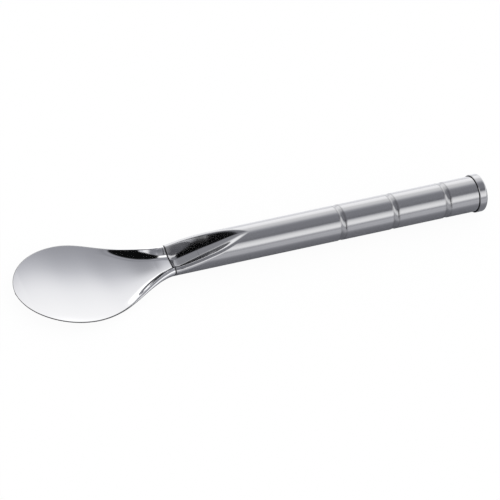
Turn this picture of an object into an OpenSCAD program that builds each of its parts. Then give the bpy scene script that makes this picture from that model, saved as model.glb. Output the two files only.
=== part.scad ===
// Ice cream spatula of polished stainless steel: a dished teardrop blade with a solid neck,
// a rolled tube handle whose front is pressed into a thumb recess, and a turned end cap.
// The part lies as it rests on a table: X runs from the blade (-X) to the cap (+X), Z is up,
// and the origin is on the table, half way along the whole length.

/* [Handle tube] */
// Outside diameter of the handle tube
handle_d = 18; // [15:0.5:22]
// Thickness of the tube's wall
handle_wall = 1.2; // [0.8:0.1:1.5]
// Length of the tube from the blade seam to the cap seam
handle_l = 171.3; // [150:0.1:200]

/* [Rolled grooves] */
// Number of grooves rolled round the tube
groove_count = 3; // [1:1:4]
// Width of a groove along the tube
groove_w = 2.8; // [1.6:0.1:4]
// Depth of a groove
groove_depth = 0.25; // [0.1:0.05:0.5]
// Distance between neighbouring grooves
groove_pitch = 29.9; // [12:0.1:30]
// Distance from the cap seam to the middle of the nearest groove
groove_end = 17.6; // [10:0.1:24]

/* [Thumb recess] */
// Length of the recess from the blade seam to where it has faded out
recess_l = 42.5; // [38:0.1:46]
// How far the floor lies below the tube's axis at the seam
recess_drop = 4.6; // [3:0.1:4.8]
// Height of the floor above the axis at an eighth of the recess's length
floor_eighth = -4.9; // [-5.1:0.1:-3.5]
// Height of the floor above the axis at a quarter of the length
floor_quarter = -2.8; // [-3.4:0.1:-1]
// Height of the floor above the axis at half the length
floor_half = 1.9; // [1:0.1:3]
// Half width of the floor at the seam
recess_floor_w = 2; // [1:0.1:3]
// Height of the rolled rims above the tube's axis at the seam
seam_rim = 0.7; // [0.4:0.1:1.5]
// Height of the rims above the axis at an eighth of the length
rim_eighth = 1.7; // [1.3:0.1:2.4]
// Height of the rims above the axis at a quarter of the length
rim_quarter = 3; // [2.6:0.1:4]
// Height of the rims above the axis at half the length
rim_half = 5.4; // [4.8:0.1:6.6]
// Radius of the rolled rims
rim_round = 2.2; // [1.6:0.1:2.4]
// Share of a recess wall's width that its upper bend takes at the seam
wall_top = 0.06; // [0.02:0.01:0.2]
// The same share where the recess has faded out
top_end = 0.35; // [0.2:0.01:0.4]
// Share of a recess wall's width that its lower bend takes at the seam
wall_foot = 0.68; // [0.3:0.01:0.8]
// The same share where the recess has faded out
foot_end = 0.2; // [0.1:0.01:0.3]

/* [Blade] */
// Length of the blade from the seam to its tip
blade_l = 84.8; // [75:0.1:100]
// Greatest width of the blade
blade_w = 48.2; // [40:0.2:56]
// Distance from the seam to the blade's widest place
widest_at = 50.8; // [46:0.1:54]
// Depth of the dish at the widest place
dish_depth = 2.3; // [1.5:0.1:2.6]
// How early the outline opens behind the shoulder: a smaller number opens it nearer to the seam
flare = 0.88; // [0.8:0.01:1]
// Thickness of the blade's edge
edge_t = 0.8; // [0.6:0.05:1]
// Height of the blade's tip above the table
tip_h = 7.9; // [5:0.1:10]
// Height of the rim above the table at the widest place
widest_h = 5.2; // [4.4:0.1:6]
// Height of the rim above the table where the shoulder walls end
waist_h = 3; // [2.6:0.1:3.6]
// Height of the shoulder's rim above the table
shoulder_h = 6.3; // [5.6:0.1:8]
// Height of the walls on both sides of the shoulder
shoulder_wall = 3; // [2:0.1:3.6]
// Radius of the shoulder's rim
shoulder_round = 1.4; // [1:0.1:1.8]
// Share of the shoulder's half width that its floor takes
shoulder_floor = 0.58; // [0.45:0.01:0.7]
// Distance from the seam to the shoulder
shoulder_at = 16.5; // [14:0.5:19]
// Distance from the seam to where the shoulder walls end
wall_end = 27.5; // [25:0.5:30]
// Distance from the seam to the lowest place of the underside
belly_at = 34; // [32:0.5:38]

/* [Tang] */
// Length of the blade's tang inside the tube
tang_l = 16; // [8:1:20]
// Clearance round the tang inside the tube, wide enough for the lowest place of the recess's floor
tang_gap = 0.45; // [0.45:0.05:0.8]

/* [End cap] */
// Diameter of the cap's flange
cap_d = 19.3; // [18.6:0.1:22.8]
// Length of the flange along the handle
cap_l = 4.6; // [3:0.1:8]
// Radius of the flange's outer edge
cap_round = 1.1; // [0.4:0.1:1.5]
// Bevel on both sides of the cap seam
cap_bevel = 0.3; // [0.1:0.05:0.5]
// Length of the plug inside the tube
plug_l = 9; // [5:0.5:16]
// Wall of the hollow plug
plug_wall = 1.5; // [1:0.1:2.5]
// Clearance between the plug and the tube's bore
plug_gap = 0.05; // [0.02:0.01:0.2]

/* [Hidden] */

tube_r = handle_d / 2;
bore_r = tube_r - handle_wall;
blade_half = blade_w / 2;
// Both the flange and the belly of the blade touch the table, so the flange sets the axis height
axis_z = cap_d / 2;
total_l = blade_l + handle_l + cap_l;
seam_x = blade_l - total_l / 2;
cap_x = seam_x + handle_l;
groove_r = (groove_w * groove_w / 4 + groove_depth * groove_depth) / (2 * groove_depth);

// Steps of half a section from the bottom to the top: underside, rim, wall and floor
UNDER = 11;
RIM = 5;
WALL = 8;
FLOOR = 4;
HALF = UNDER + RIM + WALL + FLOOR;
// Each step is first worked out in this many finer ones
FINE = 3;
$fn = 48;

function clamp(v, low, high) = max(low, min(high, v));
function mix(a, b, share) = a + (b - a) * share;
function smooth(t) = t * t * (3 - 2 * t);
function steps(from, to, count) = [for (i = [0:count]) from + (to - from) * i / count];
function rest(list) = [for (i = [1:len(list) - 1]) list[i]];
function reversed(list) = [for (i = [len(list) - 1:-1:0]) list[i]];
// Point of a cubic curve with its four control points
function bezier(p, t) =
    p[0] * pow(1 - t, 3) + p[1] * 3 * t * pow(1 - t, 2) + p[2] * 3 * t * t * (1 - t) + p[3] * pow(t, 3);
// Smooth curve through pairs of place and value, level at both ends
function slope_at(pairs, i) =
    i == 0 || i == len(pairs) - 1 ? 0
    : (pairs[i + 1][1] - pairs[i - 1][1]) / (pairs[i + 1][0] - pairs[i - 1][0]);
function piece_at(pairs, x) = max([for (i = [0:len(pairs) - 2]) if (i == 0 || pairs[i][0] <= x) i]);
function hermite(a, b, span, slope_a, slope_b, t) =
    a * (1 + 2 * t) * pow(1 - t, 2) + b * t * t * (3 - 2 * t)
    + span * (slope_a * t * pow(1 - t, 2) - slope_b * t * t * (1 - t));
function through(pairs, x) =
    let (
        i = piece_at(pairs, x),
        span = pairs[i + 1][0] - pairs[i][0],
        t = clamp((x - pairs[i][0]) / span, 0, 1)
    )
    hermite(pairs[i][1], pairs[i + 1][1], span, slope_at(pairs, i), slope_at(pairs, i + 1), t);

// Right half of a cross section, from the bottom in the middle to the floor in the middle.
// half_w and depth: half width and depth of the round underside below mid_z, where belly is its
// roundness (1 is an ellipse, 2 a flat dish). round_r and rim_z: radius and height of the rolled rim.
// floor_z and floor_w: height and half width of the floor. dish: how far a dished floor rises
// on its way to the rim. wall: 1 where a wall stands at the rim, 0 where the dish runs out to it.
// top_share and foot_share: shares of the wall's width that its upper and lower bends take.
function half_section(
    half_w, depth, mid_z, belly, round_r, rim_z, floor_z, floor_w, dish, wall, top_share, foot_share) =
    let (
        rim_sin = clamp((rim_z - round_r - mid_z) / (depth - round_r), -1, 1),
        rim_a = asin(rim_sin),
        crest = (half_w - round_r) * cos(rim_a),
        start_z = mid_z + (rim_sin < 0 ? -depth * pow(-rim_sin, belly) : depth * rim_sin),
        round_h = (rim_z - start_z) / (1.000001 - rim_sin),
        edge_w = min(floor_w, crest * 0.98),
        edge_z = floor_z + dish * pow(edge_w / crest, 2),
        width = crest - edge_w,
        foot_slope = 2 * dish * edge_w / (crest * crest),
        rim_slope = 2 * dish / crest * (1 - wall),
        foot = width * mix(1 / 3, foot_share, wall),
        top = width * mix(1 / 3, top_share, wall),
        curve = [
            [crest, rim_z], [crest - top, rim_z - top * rim_slope],
            [edge_w + foot, edge_z + foot * foot_slope], [edge_w, edge_z]
        ]
    )
    [
        for (a = steps(-90, rim_a, UNDER * FINE))
            [half_w * cos(a), mid_z + (a < 0 ? -depth * pow(-sin(a), belly) : depth * sin(a))],
        for (a = rest(steps(rim_a, 90, RIM * FINE)))
            [crest + round_r * cos(a), rim_z - round_h + round_h * sin(a)],
        for (t = rest(steps(0, 1, WALL * FINE))) bezier(curve, t),
        for (y = rest(steps(edge_w, 0, FLOOR * FINE)))
            [y, floor_z + dish * pow(y / crest, 2)]
    ];

// Points of half a section, picked from its finer ones. even moves them from the places where the
// section bends most (0) to equal distances along it (1).
function lengths(points) =
    [for (i = 0, sum = 0; i < len(points);
        i = i + 1, sum = sum + (i < len(points) ? norm(points[i] - points[i - 1]) : 0)) sum];
function pick(points, even) =
    let (
        along = lengths(points),
        across = [for (i = [0:len(points) - 1]) [along[i], points[i][0]]],
        up = [for (i = [0:len(points) - 1]) [along[i], points[i][1]]],
        total = along[len(points) - 1]
    )
    [for (i = [0:HALF])
        let (place = mix(along[i * FINE], total * i / HALF, even))
        [lookup(place, across), lookup(place, up)]];
function round_half(r) = [for (a = steps(-90, 90, HALF)) [r * cos(a), axis_z + r * sin(a)]];

// Whole ring of a section: the right half and its mirror image
function ring(half) = [each half, for (i = [len(half) - 2:-1:1]) [-half[i][0], half[i][1]]];
// The same ring moved inwards by a distance, as the inside of a sheet is
function inset(points, distance) =
    let (count = len(points))
    [for (i = [0:count - 1])
        let (
            along = points[(i + 1) % count] - points[(i + count - 1) % count],
            inward = [-along[1], along[0]] / norm(along)
        )
        points[i] + inward * distance];
function at_x(points, x) = [for (p = points) [x, p[0], p[1]]];

// Solid skin over rings of equal length. An open skin has a cap on both ends, and a closed one
// runs from the last ring back to the first.
module skin(rings, closed = false) {
    count = len(rings[0]);
    total = len(rings);
    last = closed ? total - 1 : total - 2;
    sides = [for (i = [0:last], j = [0:count - 1])
        let (
            a = i * count + j,
            b = i * count + (j + 1) % count,
            c = ((i + 1) % total) * count + j,
            d = ((i + 1) % total) * count + (j + 1) % count
        )
        each [[a, c, b], [b, c, d]]];
    caps = closed ? [] : [
        [for (i = [0:count - 1]) i],
        [for (i = [count - 1:-1:0]) (total - 1) * count + i]
    ];
    polyhedron([for (r = rings) each r], [each sides, each caps]);
}

// Heights of the rims and the floor along the recess, by their share of its length. The rims end a
// hair below the top of the tube, where the floor has become a hair wide.
fade = 0.01;
fade_w = 0.3;
climb_line = [
    [0, seam_rim], [1 / 8, rim_eighth], [1 / 4, rim_quarter], [1 / 2, rim_half], [1, tube_r - fade]
];
ramp_line = [
    [0, -recess_drop], [1 / 8, floor_eighth], [1 / 4, floor_quarter], [1 / 2, floor_half], [1, tube_r]
];
// Section of the pressed front at a distance from the seam
function recess_section(s) =
    let (
        share = s / recess_l,
        rim_z = axis_z + through(climb_line, share),
        floor_z = axis_z + through(ramp_line, share),
        floor_w = mix(recess_floor_w, fade_w, share)
    )
    half_section(
        tube_r, tube_r, axis_z, 1, rim_round, rim_z, min(floor_z, rim_z), floor_w, 0, 1,
        mix(wall_top, top_end, share), mix(wall_foot, foot_end, share)
    );
// Its points stay at the bends near the seam, and lie evenly where the tube is round again
even_from = 0.3;
function recess_half(s) =
    pick(recess_section(s), pow(clamp((s / recess_l - even_from) / (1 - even_from), 0, 1), 2));

// Lines of the blade at a distance from the seam
function blade_half_w(s) =
    s < widest_at
    ? mix(tube_r, blade_half, smooth(pow(s / widest_at, flare)))
    : max(edge_t, blade_half * sqrt(1 - pow((s - widest_at) / (blade_l - widest_at), 2)));
rim_line = [
    [0, axis_z + seam_rim], [shoulder_at, shoulder_h], [wall_end, waist_h], [widest_at, widest_h],
    [blade_l, tip_h]
];
wall_line = [
    [0, seam_rim + recess_drop - dish_depth * pow(tube_r / blade_half, 2)],
    [shoulder_at, shoulder_wall], [wall_end, 0], [blade_l, 0]
];
round_line = [[0, rim_round], [shoulder_at, shoulder_round], [wall_end, edge_t * 0.75], [blade_l, edge_t / 2]];
// Roundness of the underside, from the half round neck to the flat dish
belly_line = [[0, 1], [shoulder_at, 1.25], [wall_end, 1.9], [blade_l, 2]];
dish_floor = 0.8;
floor_share = [
    [0, recess_floor_w / (tube_r - rim_round)], [shoulder_at, shoulder_floor],
    [wall_end, dish_floor], [blade_l, dish_floor]
];
// How slowly the underside rises towards the tip
under_power = 1.63;
function under_z(s) =
    s < belly_at
    ? (axis_z - tube_r) * pow(1 - s / belly_at, 2)
    : (tip_h - edge_t) * pow((s - belly_at) / (blade_l - belly_at), under_power);
function blade_section(s) =
    let (
        half_w = blade_half_w(s),
        rim_z = through(rim_line, s),
        round_r = min(through(round_line, s), half_w * 0.6),
        dish = dish_depth * pow(half_w / blade_half, 2),
        wall = smooth(clamp((wall_end - s) / (wall_end - shoulder_at), 0, 1)),
        lift = (rim_round - seam_rim) * pow(clamp(1 - s / wall_end, 0, 1), 2),
        mid_z = rim_z - round_r + lift,
        floor_z = rim_z - dish - max(0, through(wall_line, s)),
        crest = half_w - round_r
    )
    half_section(
        half_w, mid_z - under_z(s), mid_z, through(belly_line, s), round_r, rim_z, floor_z,
        crest * through(floor_share, s), dish, wall, wall_top, wall_foot
    );

// Blade, neck and tang, cast in one piece and polished
module blade() {
    round_end = [for (a = steps(90, 0, 15)) widest_at + (blade_l - widest_at) * sin(a)];
    places = [
        each round_end, each rest(steps(widest_at, belly_at, 6)), each rest(steps(belly_at, wall_end, 3)),
        each rest(steps(wall_end, 0, 16))
    ];
    tang = inset(ring(recess_half(0)), handle_wall + tang_gap);
    color("#dfe2e4")
        skin([
            for (s = places) at_x(ring(pick(blade_section(s), 0)), seam_x - s),
            at_x(tang, seam_x),
            at_x(tang, seam_x + tang_l)
        ]);
}

// Tube pressed at the front into the recess, with grooves rolled round it further back
module handle() {
    pressed = steps(0, recess_l, 21);
    grooves = [for (i = [groove_count - 1:-1:0]) cap_x - groove_end - i * groove_pitch];
    outside = [
        for (s = pressed) at_x(ring(recess_half(s)), seam_x + s),
        for (g = grooves, t = steps(-1, 1, 4))
            round_ring(tube_r - groove_dent(t), g + t * groove_w / 2),
        round_ring(tube_r, cap_x - cap_bevel),
        round_ring(tube_r - cap_bevel, cap_x)
    ];
    inside = [
        for (s = pressed) at_x(inset(ring(recess_half(s)), handle_wall), seam_x + s),
        round_ring(bore_r, cap_x)
    ];
    color("#b4b7ba") skin([each outside, each reversed(inside)], closed = true);
}
function round_ring(r, x) = at_x(ring(round_half(r)), x);
// Depth of a groove at a share of its half width from its middle
function groove_dent(t) = sqrt(groove_r * groove_r - pow(t * groove_w / 2, 2)) - groove_r + groove_depth;

// Turns a shape that stands on the Z axis so that it points along the handle's axis
module on_axis(x) {
    translate([x, 0, axis_z]) rotate([0, 90, 0]) children();
}

// Turned cap: a flange outside the tube and a hollow plug inside it
module end_cap() {
    flange_r = cap_d / 2;
    plug_r = bore_r - plug_gap;
    color("#c3c6c8")
        on_axis(cap_x) rotate_extrude() {
            difference() {
                translate([0, -plug_l]) square([plug_r, plug_l + cap_l / 2]);
                translate([0, -plug_l - 1]) square([plug_r - plug_wall, plug_l + 1]);
            }
            square([flange_r - cap_bevel, cap_l - cap_round]);
            translate([0, cap_bevel]) square([flange_r, cap_l - cap_round - cap_bevel]);
            square([flange_r - cap_round, cap_l]);
            translate([flange_r - cap_round, cap_l - cap_round]) circle(r = cap_round);
        }
}

blade();
handle();
end_cap();
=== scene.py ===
# %% [markdown]
# # An ice cream spatula
#
# This lesson builds a long steel spatula for scooping and spreading ice cream: a dished teardrop
# blade, a tube handle with a pressed thumb recess, and a turned end cap. The exact solids come
# first, as a fixed frame. Each visible piece then stands in the place of one solid, with the
# finer rings, seams and finishes that a reflection needs.

# %% Load the solids
from math import asin, cos, pi, radians, sin, sqrt

import bpy
import numpy as np
from mathutils import Matrix, Vector


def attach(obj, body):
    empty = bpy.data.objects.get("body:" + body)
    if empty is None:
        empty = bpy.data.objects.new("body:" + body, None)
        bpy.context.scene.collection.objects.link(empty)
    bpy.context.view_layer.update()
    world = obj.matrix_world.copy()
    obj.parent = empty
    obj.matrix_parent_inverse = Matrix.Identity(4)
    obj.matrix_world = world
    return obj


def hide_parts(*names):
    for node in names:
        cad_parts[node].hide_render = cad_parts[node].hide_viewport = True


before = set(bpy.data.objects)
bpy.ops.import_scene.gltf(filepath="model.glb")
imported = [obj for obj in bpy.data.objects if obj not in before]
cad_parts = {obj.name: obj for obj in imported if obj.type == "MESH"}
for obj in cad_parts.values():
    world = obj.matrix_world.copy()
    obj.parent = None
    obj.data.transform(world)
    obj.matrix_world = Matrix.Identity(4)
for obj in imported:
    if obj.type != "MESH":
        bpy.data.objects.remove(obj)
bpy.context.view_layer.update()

print("solids:", sorted(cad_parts))

# %% [markdown]
# ## The camera
#
# The picture is taken with a long lens from far away, so the tube hardly narrows with distance.
# The camera stands high in front of the blade, and it is rolled, which is why the handle
# climbs to the right. A camera is placed by three directions: the one back to the camera, the
# picture's right and the picture's up. The two sideways steps aim it beside the origin. The
# lens is told by its focal length as a share of the picture's width.

# %% Camera
MM = 0.001
AXIS_Z = 9.65
CAMERA_TURN, CAMERA_RISE, CAMERA_ROLL = radians(-41.054), radians(49.348), radians(21.342)
CAMERA_AWAY, CAMERA_RIGHT, CAMERA_UP = 4397.7, -0.338, -4.436
SENSOR_W, FOCAL_SHARE = 36, 8830.3 / 500

back = Vector((sin(CAMERA_TURN) * cos(CAMERA_RISE), -cos(CAMERA_TURN) * cos(CAMERA_RISE),
               sin(CAMERA_RISE)))
level = Vector((0, 0, 1)).cross(back).normalized()
upright = back.cross(level)
right = level * cos(CAMERA_ROLL) + upright * sin(CAMERA_ROLL)
up = upright * cos(CAMERA_ROLL) - level * sin(CAMERA_ROLL)

camera = bpy.data.objects.new("camera", bpy.data.cameras.new("camera"))
bpy.context.scene.collection.objects.link(camera)
bpy.context.scene.camera = camera
camera.data.sensor_width = SENSOR_W
camera.data.lens = SENSOR_W * FOCAL_SHARE
camera.data.clip_start, camera.data.clip_end = 0.5, 60
place = Vector((0, 0, AXIS_Z)) + right * CAMERA_RIGHT + up * CAMERA_UP + back * CAMERA_AWAY
turn = Matrix((right, up, back)).transposed().to_4x4()
camera.matrix_world = Matrix.Translation(place * MM) @ turn
print("lens in millimetres:", round(camera.data.lens))

# %% [markdown]
# ## Sizes
#
# The sizes are the ones of the solids, in millimetres. A place along the spatula is told by its
# distance from the seam between blade and handle: forwards on the blade, backwards on the tube.

# %% Sizes
HANDLE_D, WALL, HANDLE_L = 18, 1.2, 171.3
CAP_D, CAP_L, CAP_ROUND, BEVEL = 19.3, 4.6, 1.1, 0.3
PLUG_L, PLUG_WALL, PLUG_GAP = 9, 1.5, 0.05
BLADE_L, BLADE_W, WIDEST_AT, BELLY_AT = 84.8, 48.2, 50.8, 34
SHOULDER_AT, WALL_END = 16.5, 27.5
DISH, EDGE_T = 2.3, 0.8
TIP_H, WIDEST_H, WAIST_H, SHOULDER_H, SHOULDER_WALL = 7.9, 5.2, 3, 6.3, 3
RECESS_L, RECESS_FLOOR_W, RECESS_DROP, SEAM_RIM, RIM_ROUND = 42.5, 2, 4.6, 0.7, 2.2
RIM_HEIGHTS = 1.7, 3, 5.4
FLOOR_HEIGHTS = -4.9, -2.8, 1.9
WALL_TOP, TOP_END, WALL_FOOT, FOOT_END = 0.06, 0.35, 0.68, 0.2
TANG_L, TANG_GAP = 16, 0.45
GROOVES, GROOVE_W, GROOVE_DEPTH, GROOVE_PITCH, GROOVE_END = 3, 2.8, 0.25, 29.9, 17.6

TUBE_R = HANDLE_D / 2
BLADE_HALF = BLADE_W / 2
SEAM_X = BLADE_L - (BLADE_L + HANDLE_L + CAP_L) / 2
CAP_X = SEAM_X + HANDLE_L
print("blade seam at x =", round(SEAM_X, 2), "and cap seam at x =", round(CAP_X, 2))

# %% [markdown]
# ## Curves through a few sizes
#
# Steel that is pressed or forged flows from one size to the next. A smooth curve through a few
# pairs of place and size gives that, and every line of the blade is told by such pairs.

# %% Curves
def mix(low, high, share):
    return low + (high - low) * share


def clamp(value, low=0.0, high=1.0):
    return max(low, min(high, value))


def smooth(t):
    return t * t * (3 - 2 * t)


def through(pairs, x):
    """Height at x of a smooth curve through pairs of place and value, level at both ends."""
    last = len(pairs) - 1
    i = max(k for k in range(last) if k == 0 or pairs[k][0] <= x)
    slopes = [0, 0]
    for side, k in enumerate((i, i + 1)):
        if 0 < k < last:
            (before, first), (after, second) = pairs[k - 1], pairs[k + 1]
            slopes[side] = (second - first) / (after - before)
    (start, low), (end, high) = pairs[i], pairs[i + 1]
    span = end - start
    t = clamp((x - start) / span)
    bend = slopes[0] * t * (1 - t) ** 2 - slopes[1] * t * t * (1 - t)
    return mix(low, high, smooth(t)) + span * bend


print("a curve half way between two sizes:", through([(0, 1), (10, 3)], 5))

# %% [markdown]
# ## One kind of cross section
#
# The blade, its neck and the pressed tube share one kind of cross section: a round underside, a
# rolled rim, a wall that drops from the rim, and a floor. Half of it is worked out and then
# mirrored. Where there is no wall, the floor is the dish itself and runs out to the rim.

# %% Half a cross section
UNDER, RIM, SIDE, FLOOR = 40, 16, 34, 16
FLOOR_LIMIT, TINY = 0.98, 0.000001


def half_section(half_w, depth, mid_z, belly, round_r, rim_z, floor_z, floor_w, dish, wall,
                 top_share, foot_share):
    """Points from the bottom in the middle to the floor in the middle, as pairs of y and z."""
    rim_sin = clamp((rim_z - round_r - mid_z) / (depth - round_r), -1, 1)
    rim_a = asin(rim_sin)
    crest = (half_w - round_r) * cos(rim_a)
    start_z = mid_z - depth * (-rim_sin) ** belly if rim_sin < 0 else mid_z + depth * rim_sin
    round_h = (rim_z - start_z) / (1 + TINY - rim_sin)
    edge_w = min(floor_w, crest * FLOOR_LIMIT)
    edge_z = floor_z + dish * (edge_w / crest) ** 2
    width = crest - edge_w
    foot = width * mix(1 / 3, foot_share, wall)
    top = width * mix(1 / 3, top_share, wall)
    rim_slope = 2 * dish / crest * (1 - wall)
    foot_slope = 2 * dish * edge_w / crest ** 2
    pull = np.array([[crest, rim_z], [crest - top, rim_z - top * rim_slope],
                     [edge_w + foot, edge_z + foot * foot_slope], [edge_w, edge_z]])
    points = []
    for a in np.linspace(-pi / 2, rim_a, UNDER + 1):
        height = -(-sin(a)) ** belly if a < 0 else sin(a)
        points.append((half_w * cos(a), mid_z + depth * height))
    for a in np.linspace(rim_a, pi / 2, RIM + 1)[1:]:
        points.append((crest + round_r * cos(a), rim_z - round_h + round_h * sin(a)))
    for t in np.linspace(0, 1, SIDE + 1)[1:]:
        shares = ((1 - t) ** 3, 3 * t * (1 - t) ** 2, 3 * t * t * (1 - t), t ** 3)
        points.append(tuple(np.dot(shares, pull)))
    for y in np.linspace(edge_w, 0, FLOOR + 1)[1:]:
        points.append((y, floor_z + dish * (y / crest) ** 2))
    return np.array(points)


def ring(half):
    """The whole section from its half and the mirror image."""
    return np.vstack([half, half[-2:0:-1] * [-1, 1]])


def inset(points, distance):
    """The same ring moved inwards, as the inside of a sheet is."""
    along = np.roll(points, -1, axis=0) - np.roll(points, 1, axis=0)
    along /= np.linalg.norm(along, axis=1, keepdims=True)
    return points + np.column_stack([-along[:, 1], along[:, 0]]) * distance


def at_x(points, x):
    return np.column_stack([np.full(len(points), x), points])


half_count = UNDER + RIM + SIDE + FLOOR
print("points round a section:", 2 * half_count)

# %% [markdown]
# ## A skin over rings
#
# A piece is a row of rings with the same number of points, joined by four-sided faces. A number
# stored at each point travels with the mesh, and here it marks how deep in a seam the point lies,
# or how much painted shade darkens it along the blade's edge and in the grooves.

# %% Skin over rings
SHARP_ANGLE = radians(32)


def skin(name, rings, marks=(), caps=True):
    """A mesh piece over rings given in millimetres. Each mark is a ring and its seam number, or the
    numbers of its points. caps closes both ends, or joins them if it is None."""
    rings = [np.asarray(points) for points in rings]
    count, total = len(rings[0]), len(rings)
    faces = []
    for i in range(total if caps is None else total - 1):
        first, second = i * count, (i + 1) % total * count
        for j in range(count):
            after = (j + 1) % count
            faces.append((first + j, first + after, second + after, second + j))
    if caps:
        faces.append(tuple(range(count - 1, -1, -1)))
        faces.append(tuple(range((total - 1) * count, total * count)))
    mesh = bpy.data.meshes.new(name)
    mesh.from_pydata((np.vstack(rings) * MM).tolist(), [], faces)
    mesh.shade_smooth()
    mesh.set_sharp_from_angle(angle=SHARP_ANGLE)
    depths = np.zeros((total, count))
    for i, numbers in marks:
        depths[i] = numbers
    # Seam numbers: dark seams, and painted shade along the blade's edge and in the grooves.
    mesh.attributes.new("seam", "FLOAT", "POINT").data.foreach_set("value", depths.ravel())
    piece = bpy.data.objects.new(name, mesh)
    bpy.context.scene.collection.objects.link(piece)
    box_mm = [round(size / MM, 1) for size in piece.dimensions]
    print(name, "has", len(faces), "faces, and its box is", box_mm)
    return piece


# %% [markdown]
# ## The blade
#
# The real blade is forged and polished in one with its neck. From the neck, walls on both sides
# run down into the dish and fade out where the teardrop opens. Seven lines tell the blade along
# its length: the outline, the rim, the walls' height, how much of the side is wall, the rim's
# roundness, the underside's roundness, and the width of the floor. A mirror shows each place
# where a curve bends at once, so every line but the outline is averaged over a few millimetres.

# %% Lines of the blade
EASE_L, EASE_STEPS = 6, 9
FLARE = 0.88
UNDER_POWER = 1.63
SHOULDER_ROUND, ROUND_LIMIT = 1.4, 0.6
RIM_LINE = [(0, AXIS_Z + SEAM_RIM), (SHOULDER_AT, SHOULDER_H), (WALL_END, WAIST_H),
            (WIDEST_AT, WIDEST_H), (BLADE_L, TIP_H)]
WALL_LINE = [(0, SEAM_RIM + RECESS_DROP - DISH * (TUBE_R / BLADE_HALF) ** 2),
             (SHOULDER_AT, SHOULDER_WALL), (WALL_END, 0)]
ROUND_LINE = [(0, RIM_ROUND), (SHOULDER_AT, SHOULDER_ROUND), (WALL_END, EDGE_T * 0.75),
              (BLADE_L, EDGE_T / 2)]
BELLY_LINE = [(0, 1), (SHOULDER_AT, 1.25), (WALL_END, 1.9), (BLADE_L, 2)]
WALL_SHARE = [(SHOULDER_AT, 1), (WALL_END, 0)]
FLOOR_SHARE = [(0, RECESS_FLOOR_W / (TUBE_R - RIM_ROUND)), (4, 0.5), (SHOULDER_AT, 0.58),
               (WALL_END, 0.8), (BLADE_L, 0.8)]


def eased(pairs, s):
    """A line of the blade, averaged over a few millimetres, so that no bend starts at once."""
    reach = min(EASE_L, s, BLADE_L - s)
    steps = np.linspace(-1, 1, EASE_STEPS)
    return sum(through(pairs, s + reach * step) for step in steps) / EASE_STEPS


def blade_half_w(s):
    if s < WIDEST_AT:
        return mix(TUBE_R, BLADE_HALF, smooth((s / WIDEST_AT) ** FLARE))
    share = (s - WIDEST_AT) / (BLADE_L - WIDEST_AT)
    return max(EDGE_T, BLADE_HALF * sqrt(max(0, 1 - share ** 2)))


def under_z(s):
    if s < BELLY_AT:
        return (AXIS_Z - TUBE_R) * (1 - s / BELLY_AT) ** 2
    return (TIP_H - EDGE_T) * ((s - BELLY_AT) / (BLADE_L - BELLY_AT)) ** UNDER_POWER


def blade_section(s):
    half_w, rim_z = blade_half_w(s), eased(RIM_LINE, s)
    round_r = min(eased(ROUND_LINE, s), half_w * ROUND_LIMIT)
    dish = DISH * (half_w / BLADE_HALF) ** 2
    mid_z = rim_z - round_r + (RIM_ROUND - SEAM_RIM) * clamp(1 - s / WALL_END) ** 2
    floor_z = rim_z - dish - eased(WALL_LINE, s)
    floor_w = (half_w - round_r) * eased(FLOOR_SHARE, s)
    return half_section(half_w, mid_z - under_z(s), mid_z, eased(BELLY_LINE, s), round_r, rim_z,
                        floor_z, floor_w, dish, eased(WALL_SHARE, s), WALL_TOP, WALL_FOOT)


print("half width of the blade:", [round(blade_half_w(s), 1) for s in (0, 20, 50, 80)])

# %% [markdown]
# ## The thumb recess
#
# The front of the tube is pressed down into a hollow for the thumb. Its rims climb from the seam
# back to the top of the tube and draw together to a point, and its narrow floor ramps up to the
# same point. The tube's round underside stays as it is. Both lines are told by their heights at
# an eighth, a quarter and a half of the recess's length.

# %% Sections of the recess
SEAM_LEAN, LEAN_L = 2.2, 6
FADE, FADE_W = 0.01, 0.3
SHARES = 0, 1 / 8, 1 / 4, 1 / 2, 1
CLIMB_LINE = list(zip(SHARES, (SEAM_RIM, *RIM_HEIGHTS, TUBE_R - FADE)))
RAMP_LINE = list(zip(SHARES, (-RECESS_DROP, *FLOOR_HEIGHTS, TUBE_R)))


def recess_section(s):
    share = s / RECESS_L
    rim_z = AXIS_Z + through(CLIMB_LINE, share)
    floor_z = AXIS_Z + through(RAMP_LINE, share)
    return half_section(TUBE_R, TUBE_R, AXIS_Z, 1, RIM_ROUND, rim_z, min(floor_z, rim_z),
                        mix(RECESS_FLOOR_W, FADE_W, share), 0, 1, mix(WALL_TOP, TOP_END, share),
                        mix(WALL_FOOT, FOOT_END, share))


def leaned(section, s, x):
    """The ring at x, with its hollow moved back near the seam, as pressing draws the lip in."""
    points = at_x(section, x)
    crest, middle = UNDER + RIM, half_count
    for k in range(crest, 2 * middle - crest + 1):
        depth = (points[crest, 2] - points[k, 2]) / max(points[crest, 2] - points[middle, 2], FADE)
        points[k, 0] += SEAM_LEAN * clamp(depth) * (1 - clamp(s / LEAN_L)) ** 2
    return points


floor_heights = [float(recess_section(s)[-1][1]) for s in (0, 10, 20, 30, 40)]
print("height of the recess's floor:", [round(height, 1) for height in floor_heights])

# %% [markdown]
# ## Making the blade
#
# Rings lie closer where the outline turns fast, at the tip. The last ring before the seam is a
# little smaller, which leaves a fine open line between blade and tube. A plain tang behind it
# holds the blade in the tube. The blade's outer edge shows as a thin dark line, which is painted
# shade for the shadowed floor that it mirrors, and its points get a seam number of their own.

# %% Blade
SEAM_W, SEAM_SIDE = 0.32, 0.7
# How dark the painted shade along the blade's outer edge is, and where along the blade it fades in.
EDGE_SHADE, EDGE_SHADE_FROM, EDGE_SHADE_FADE = 0.85, 20, 12
TIP_RINGS, BODY_RINGS = 48, 110


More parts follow.
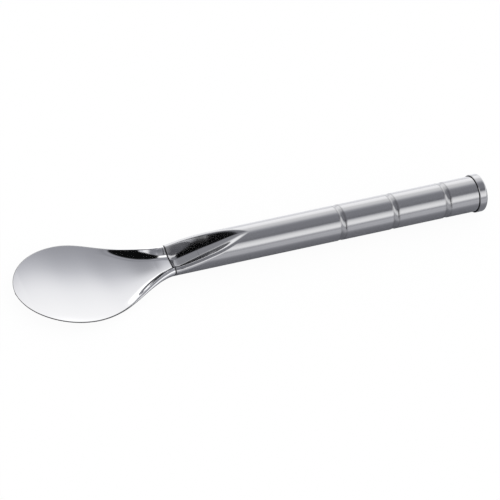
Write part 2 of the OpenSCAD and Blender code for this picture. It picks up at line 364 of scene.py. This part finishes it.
def painted_edge_shade(s):
    """The seam numbers of a ring's points: painted shade along the outer edge and 0 elsewhere."""
    numbers = np.zeros(2 * half_count)
    edge = np.arange(UNDER - 1, UNDER + RIM - 1)
    numbers[edge] = numbers[-edge] = EDGE_SHADE * smooth(clamp((s - EDGE_SHADE_FROM) / EDGE_SHADE_FADE))
    return numbers


quarter_turn = np.linspace(pi / 2, 0, TIP_RINGS)
stations = [WIDEST_AT + (BLADE_L - WIDEST_AT) * sin(a) for a in quarter_turn]
stations += list(np.linspace(WIDEST_AT, SEAM_W * 3, BODY_RINGS))[1:] + [SEAM_W * 1.5, SEAM_W]
blade_rings = [leaned(ring(blade_section(s)), s, SEAM_X - s) for s in stations]
blade_rings.append(leaned(inset(ring(recess_section(0)), SEAM_W), 0, SEAM_X))
tang = inset(ring(recess_section(0)), WALL + TANG_GAP)
blade_rings += [at_x(tang, SEAM_X), at_x(tang, SEAM_X + TANG_L)]
edge_shade_marks = [(i, painted_edge_shade(s)) for i, s in enumerate(stations)]
seam_marks = [(-4, SEAM_SIDE), (-3, 1), (-2, 1), (-1, 1)]
blade = skin("steel_blade", blade_rings, edge_shade_marks + seam_marks)
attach(blade, "root")
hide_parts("blade")

# %% [markdown]
# ## Making the handle
#
# The outside runs from the seam through the recess and three shallow rolled grooves to the cap.
# The inside is the same skin moved in by the sheet's thickness, so the tube is hollow like the
# real one. The rings at both ends are a little smaller and carry the seam number. The rings of a
# rolled groove carry a small seam number too: painted shade, darkest at the groove's edges.

# %% Handle
RECESS_RINGS, INSIDE_RINGS, GROOVE_RINGS = 120, 40, 13
GROOVE_SIDE, ROUND_FROM, EVEN_FROM = 0.8, 1.5, 12
# How much painted shade darkens a groove, and more at its two edges.
GROOVE_SHADE, GROOVE_EDGE_SHADE = 0.16, 0.38


def round_ring(r, x):
    angles = np.linspace(-pi / 2, pi * 1.5, 2 * half_count, endpoint=False)
    return at_x(np.column_stack([r * np.cos(angles), AXIS_Z + r * np.sin(angles)]), x)


def even_ring(s, share):
    """A ring of the recess whose points drift to the places of a round ring's points."""
    points = recess_section(s)
    along = np.concatenate([[0], np.cumsum(np.linalg.norm(np.diff(points, axis=0), axis=1))])
    places = mix(along, np.linspace(0, along[-1], len(along)), share)
    return ring(np.column_stack([np.interp(places, along, points[:, k]) for k in (0, 1)]))


groove_r = (GROOVE_W ** 2 / 4 + GROOVE_DEPTH ** 2) / (2 * GROOVE_DEPTH)


def groove_dent(t):
    return sqrt(groove_r ** 2 - (t * GROOVE_W / 2) ** 2) - groove_r + GROOVE_DEPTH


outside = [leaned(inset(ring(recess_section(0)), SEAM_W), 0, SEAM_X)]
for s in [SEAM_W, SEAM_W * 1.5] + list(np.linspace(SEAM_W * 3, RECESS_L, RECESS_RINGS)):
    share = clamp((s - EVEN_FROM) / (RECESS_L - EVEN_FROM)) ** 2
    outside.append(leaned(even_ring(s, share), s, SEAM_X + s))
outside.append(round_ring(TUBE_R, SEAM_X + RECESS_L + ROUND_FROM))
groove_shade_marks = []
for i in reversed(range(GROOVES)):
    middle = CAP_X - GROOVE_END - i * GROOVE_PITCH
    outside.append(round_ring(TUBE_R, middle - GROOVE_W * GROOVE_SIDE))
    for t in np.linspace(-1, 1, GROOVE_RINGS):
        groove_shade_marks.append((len(outside), GROOVE_EDGE_SHADE if abs(t) == 1 else GROOVE_SHADE))
        outside.append(round_ring(TUBE_R - groove_dent(t), middle + t * GROOVE_W / 2))
    outside.append(round_ring(TUBE_R, middle + GROOVE_W * GROOVE_SIDE))
outside += [round_ring(TUBE_R, CAP_X - BEVEL * 1.3), round_ring(TUBE_R, CAP_X - BEVEL),
            round_ring(TUBE_R - BEVEL, CAP_X)]
inside = [leaned(inset(ring(recess_section(s)), WALL), s, SEAM_X + s)
          for s in np.linspace(0, RECESS_L, INSIDE_RINGS)]
inside.append(round_ring(TUBE_R - WALL, CAP_X))

end_marks = [(0, 1), (1, SEAM_SIDE), (len(outside) - 1, 1), (-1, 1)]
handle = skin("tube_handle", outside + inside[::-1], end_marks + groove_shade_marks, None)
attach(handle, "root")
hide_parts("handle")

# %% [markdown]
# ## Making the end cap
#
# The cap is turned on a lathe, so its rings are circles: the plug, the flange with a small bevel
# against the tube, a plain side, a rounded edge and a flat face.

# %% End cap
EDGE_RINGS = 12
flange_r, plug_r = CAP_D / 2, TUBE_R - WALL - PLUG_GAP
profile = [(plug_r - PLUG_WALL, 0.5), (plug_r - PLUG_WALL, -PLUG_L), (plug_r, -PLUG_L), (plug_r, 0),
           (flange_r - BEVEL, 0), (flange_r, BEVEL), (flange_r, BEVEL * 1.5),
           (flange_r, CAP_L - CAP_ROUND * 1.2)]
profile += [(flange_r - CAP_ROUND * (1 - cos(a)), CAP_L - CAP_ROUND * (1 - sin(a)))
            for a in np.linspace(0, pi / 2, EDGE_RINGS)]
profile += [(flange_r - CAP_ROUND - 0.3, CAP_L), (1, CAP_L)]
cap = skin("turned_cap", [round_ring(r, CAP_X + along) for r, along in profile], [(3, 1), (4, 1)])
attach(cap, "root")
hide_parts("end_cap")

# %% [markdown]
# ## Shader maths as plain sums
#
# A finish that changes over the surface is a sum of a few values. A small class stands for one
# output of a node, so that `1 - mask` or `grain * 0.1` adds its Math nodes by itself. Every other
# node comes from one method that sets the node up first and then fills or links its sockets.

# %% Values of a node tree
WHITE = (1, 1, 1, 1)
TINT, TINT_BELOW = (-0.04, -0.025, 0.065), 1.35


def cool(grey):
    """The colour of a studio surface: a white one is neutral, and the darker one is, the bluer."""
    shade = clamp(TINT_BELOW - grey)
    return (*(grey * (1 + part * shade) for part in TINT), 1)


class Value:
    """One output of a node. Sums with numbers or other values add Math nodes to its tree."""

    def __init__(self, tree, socket=None):
        self.tree, self.socket = tree, socket

    def node(self, kind, settings=(), inputs=(), output=0):
        """Adds a node, sets it up, fills or links its sockets, and returns one of its outputs."""
        made = self.tree.nodes.new(kind)
        for name, setting in dict(settings).items():
            if name == "stops":
                while len(made.color_ramp.elements) < len(setting):
                    made.color_ramp.elements.new(1)
                for element, (position, grey) in zip(made.color_ramp.elements, setting):
                    element.position, element.color = position, cool(grey)
            else:
                setattr(made, name, setting)
        for name, value in dict(inputs).items():
            if isinstance(value, Value):
                self.tree.links.new(value.socket, made.inputs[name])
            else:
                made.inputs[name].default_value = value
        return Value(self.tree, made.outputs[output] if made.outputs else None)

    def math(self, operation, *others):
        """A Math node on this value and others."""
        inputs = dict(enumerate((self,) + others))
        return self.node("ShaderNodeMath", {"operation": operation}, inputs)

    def parts(self):
        """The X, Y and Z of a vector, as three values."""
        first = self.node("ShaderNodeSeparateXYZ", (), {"Vector": self})
        return [Value(self.tree, output) for output in first.socket.node.outputs]

    def between(self, low, high):
        """0 at low, 1 at high, and a smooth step from one to the other."""
        return self.node("ShaderNodeMapRange", {"interpolation_type": "SMOOTHSTEP"},
                         {"Value": self, "From Min": low, "From Max": high})

    def __add__(self, other):
        return self.math("ADD", other)

    def __sub__(self, other):
        return self.math("SUBTRACT", other)

    def __rsub__(self, other):
        return self.node("ShaderNodeMath", {"operation": "SUBTRACT"}, {0: other, 1: self})

    def __mul__(self, other):
        return self.math("MULTIPLY", other)

    __radd__, __rmul__ = __add__, __mul__


COLOUR_A, COLOUR_B, COLOUR_MIXED = 6, 7, 2


def blend(low, high, share):
    """A mix of two colours by share, as a Mix node."""
    inputs = {"Factor": share, COLOUR_A: low, COLOUR_B: high}
    return share.node("ShaderNodeMix", {"data_type": "RGBA"}, inputs, COLOUR_MIXED)


def feed(shader, name, value):
    """Links a value to one of the shader's sockets."""
    value.tree.links.new(value.socket, shader.inputs[name])


print("a studio grey:", [round(part, 3) for part in cool(0.5)])

# %% [markdown]
# ## Polished steel
#
# The blade is mirror polished. Polishing leaves a surface that is never quite flat and faint
# hairs along the blade, so the roughness changes a little. The seam is an open line that
# gathers dirt and hardly reflects, so the steel turns dark within a fraction of a millimetre.

# %% Polished steel
STEEL = (0.68, 0.68, 0.69, 1)
# The dark colour of the seams, and of the painted shade on the blade's edge and in the grooves.
DARK_SEAM_AND_SHADE = (0.02, 0.02, 0.02, 1)


def position(start):
    """A point's place on the object, in millimetres."""
    point = start.node("ShaderNodeTexCoord", output="Object")
    return point.node("ShaderNodeVectorMath", {"operation": "SCALE"}, {0: point, "Scale": 1 / MM})


def hairs(start, along, across, seed):
    """Fine lines along the spatula: noise that is stretched along X."""
    stretched = start.node("ShaderNodeVectorMath", {"operation": "MULTIPLY"},
                           {0: position(start), 1: (along, across, across)})
    noise = {"Vector": stretched, "W": seed, "Scale": 1, "Detail": 3, "Roughness": 0.6}
    return start.node("ShaderNodeTexNoise", {"noise_dimensions": "4D"}, noise)


def new_steel(name, colour, roughness):
    """A steel with dark seams and painted shade, both by the seam number. Returns its material, its
    shader, the seam and a Value to start.
    """
    material = bpy.data.materials.new(name)
    material.use_nodes = True
    shader = material.node_tree.nodes["Principled BSDF"]
    for socket, value in {"Metallic": 1, "Roughness": roughness, "Base Color": colour}.items():
        shader.inputs[socket].default_value = value
    start = Value(material.node_tree)
    seam = start.node("ShaderNodeAttribute", {"attribute_name": "seam"}, output="Fac")
    feed(shader, "Base Color", blend(colour, DARK_SEAM_AND_SHADE, seam))
    return material, shader, seam, start


polished, shader, seam, start = new_steel("polished_steel", STEEL, 0.08)
# The seam number darkens the blade's seam, and its outer edge as painted shade.
feed(shader, "Roughness", 0.06 + 0.05 * hairs(start, along=0.02, across=1.5, seed=3) + 0.4 * seam)
blade.data.materials.append(polished)
print("nodes in polished steel:", len(polished.node_tree.nodes))

# %% [markdown]
# ## Satin steel
#
# The tube is rubbed lengthwise with fine grit, which leaves short hairs along it and blurs what
# it mirrors. The pressed recess has the same finish, and looks black only because it mirrors the
# dark part of the room. The turned cap is as bright as the tube, with no hairs along it.

# %% Satin steel
SATIN = (0.42, 0.42, 0.43, 1)

satin, shader, seam, start = new_steel("satin_tube", SATIN, 0.2)
grain = hairs(start, along=0.05, across=6, seed=1)
# The seam number darkens the tube's seams, and its grooves as painted shade.
feed(shader, "Roughness", 0.11 + 0.08 * grain + 0.3 * seam)
bump = grain.node("ShaderNodeBump", (), {"Height": grain, "Strength": 0.04, "Distance": 0.0002})
feed(shader, "Normal", bump)
handle.data.materials.append(satin)

turned = new_steel("satin_cap", SATIN, 0.11)[0]
cap.data.materials.append(turned)
print("finishes:", [material.name for material in (polished, satin, turned)])

# %% [markdown]
# ## Ground and light
#
# Bare metal shows its surroundings and little else, so the light is a studio told by direction:
# a wall behind the spatula that grows brighter downwards, a wide strip of light above its front
# side, and a dark part at the front left, which the recess mirrors. The greys are faintly blue,
# as shade in a white room is. The camera sees plain white instead, from the world and from the
# floor, and so does matt paint. The floor keeps a faint shadow of the spatula. In the steel it
# shows as a ground in greys with a painted shadow in a band under the spatula and a painted glow
# behind it. World and floor aren't sampled as lamps, because the steel meets them by mirroring.

# %% Floor
FLOOR_HALF, FLOOR_Z = 3, -0.0001
# The share of real shadow on the floor that the camera sees, and the strength of the painted glow
# that the steel sees behind the spatula.
SHADOW_SHARE, PAINTED_GLOW = 0.05, 0.45
# Where the painted shadow on the mirrored ground lies, and where the painted glow begins, in
# millimetres.
PAINTED_SHADOW_X, PAINTED_SHADOW_FRONT, PAINTED_SHADOW_BACK, PAINTED_GLOW_Y = (-70, -35), (-75, -20), (5, 20), (12, 30)

ground_mesh = bpy.data.meshes.new("ground")
signs = [(-1, -1), (1, -1), (1, 1), (-1, 1)]
corners = [(a * FLOOR_HALF, b * FLOOR_HALF, FLOOR_Z) for a, b in signs]
ground_mesh.from_pydata(corners, [], [(0, 1, 2, 3)])
ground = bpy.data.objects.new("ground", ground_mesh)
bpy.context.scene.collection.objects.link(ground)

pale = bpy.data.materials.new("pale_ground")
pale.use_nodes = True
pale.cycles.emission_sampling = "NONE"
pale.node_tree.nodes.clear()
start = Value(pale.node_tree)
x, y, z = position(start).parts()
glow = start.node("ShaderNodeEmission", (), {"Color": WHITE, "Strength": 1})
lit = start.node("ShaderNodeBsdfDiffuse", (), {"Color": WHITE})
seen = start.node("ShaderNodeMixShader", (), {0: SHADOW_SHARE, 1: glow, 2: lit})
# Painted shadow: the ground that the steel mirrors is dark in a band under the spatula, darkest
# under the blade.
painted_shadow_tone = blend(cool(0.12), cool(0.4), x.between(*PAINTED_SHADOW_X))
ground_with_painted_shadow = blend(blend(cool(0.85), painted_shadow_tone, y.between(*PAINTED_SHADOW_FRONT)), cool(0.9), y.between(*PAINTED_SHADOW_BACK))
shaded = start.node("ShaderNodeBsdfDiffuse", (), {"Color": ground_with_painted_shadow})
# Painted glow: the ground behind the spatula glows in the steel, though it is no lamp.
painted_glow_strength = PAINTED_GLOW * y.between(*PAINTED_GLOW_Y)
painted_glow = start.node("ShaderNodeEmission", (), {"Color": WHITE, "Strength": painted_glow_strength})
mirrored = start.node("ShaderNodeAddShader", (), {0: shaded, 1: painted_glow})
to_camera = start.node("ShaderNodeLightPath", output="Is Camera Ray")
to_gloss = start.node("ShaderNodeLightPath", output="Is Glossy Ray")
in_steel = to_gloss * (1 - to_camera)
surface = start.node("ShaderNodeMixShader", (), {0: in_steel, 1: seen, 2: mirrored})
start.node("ShaderNodeOutputMaterial", (), {"Surface": surface})
ground_mesh.materials.append(pale)
print("floor in metres:", [round(size, 1) for size in ground.dimensions])

# %% Studio light by direction
FRONT_BOX = [(0.0, 0.8), (0.056, 0.95), (0.13, 0.76), (0.16, 0.68), (0.2, 0.76), (0.222, 1.05),
             (0.256, 1.5), (0.31, 1.75), (0.38, 1.65), (0.48, 1.38), (0.53, 1.1), (0.575, 0.5),
             (0.61, 0.27), (0.69, 0.42), (1.0, 0.42)]
BACK_WALL = [(0.0, 0.42), (0.2, 0.43), (0.275, 0.48), (0.325, 0.54), (0.375, 0.63),
             (0.425, 0.757), (0.475, 0.935), (0.525, 1.09), (0.575, 1.2), (0.65, 1.28),
             (0.725, 1.34), (0.78, 1.75), (0.92, 2.0)]
WALL_MIDDLE, WALL_STOP, WALL_SKEW, WALL_BEND = 0.5, 0.295, 0.45, 1.1
WALL_FROM = (-0.05, 0.15)
GAP_FROM, GAP_TO, GAP_TOP, GAP_SIDE = (-0.5, -0.38), (0.1, 0.34), (0.48, 0.58), (-0.1, 0.05)
GAP_TONE, GAP_SHARE = cool(0.3), 0.6
LOW_X, LOW_RISE, LOW_Y = (-0.02, 0.04), (0.63, 0.7), (0.0, 0.15)
LEFT_X, LEFT_Y = (-0.17, -0.04), (0.1, 0.3)
NIGHT, NIGHT_END = cool(0.005), (-0.64, -0.55)

world = bpy.data.worlds.new("studio")
bpy.context.scene.world = world
world.use_nodes = True
world.node_tree.nodes.clear()
start = Value(world.node_tree)
x, y, z = start.node("ShaderNodeTexCoord", output="Generated").parts()
rise = z.math("ARCSINE") * (2 / pi)
front = start.node("ShaderNodeValToRGB", {"stops": FRONT_BOX}, {"Fac": rise})
side = x.math("MAXIMUM", WALL_STOP) - WALL_MIDDLE
depth = y + WALL_SKEW * side + WALL_BEND * side * side
behind = start.node("ShaderNodeValToRGB", {"stops": BACK_WALL}, {"Fac": depth})
gap = x.between(*GAP_FROM) - x.between(*GAP_TO)
gap = gap * (1 - y.between(*GAP_TOP) * x.between(*GAP_SIDE))
behind = blend(behind, GAP_TONE, GAP_SHARE * gap)
low = (1 - x.between(*LOW_X)) * (1 - rise.between(*LOW_RISE)) * (1 - y.between(*LOW_Y))
left = (1 - x.between(*LEFT_X)) * (1 - y.between(*LEFT_Y))
night = low.math("MAXIMUM", left) * x.between(*NIGHT_END)
studio = blend(blend(front, behind, y.between(*WALL_FROM)), NIGHT, night)
to_camera = start.node("ShaderNodeLightPath", output="Is Camera Ray")
around = start.node("ShaderNodeBackground", (), {"Color": studio, "Strength": 1})
white = start.node("ShaderNodeBackground", (), {"Color": WHITE, "Strength": 1})
to_matt = start.node("ShaderNodeLightPath", output="Is Diffuse Ray")
plain = to_camera.math("MAXIMUM", to_matt)
surface = start.node("ShaderNodeMixShader", (), {0: plain, 1: around, 2: white})
start.node("ShaderNodeOutputWorld", (), {"Surface": surface})
world.cycles.sampling_method = "NONE"
bpy.context.scene.view_settings.view_transform = "Standard"
print("nodes in the studio:", len(world.node_tree.nodes))
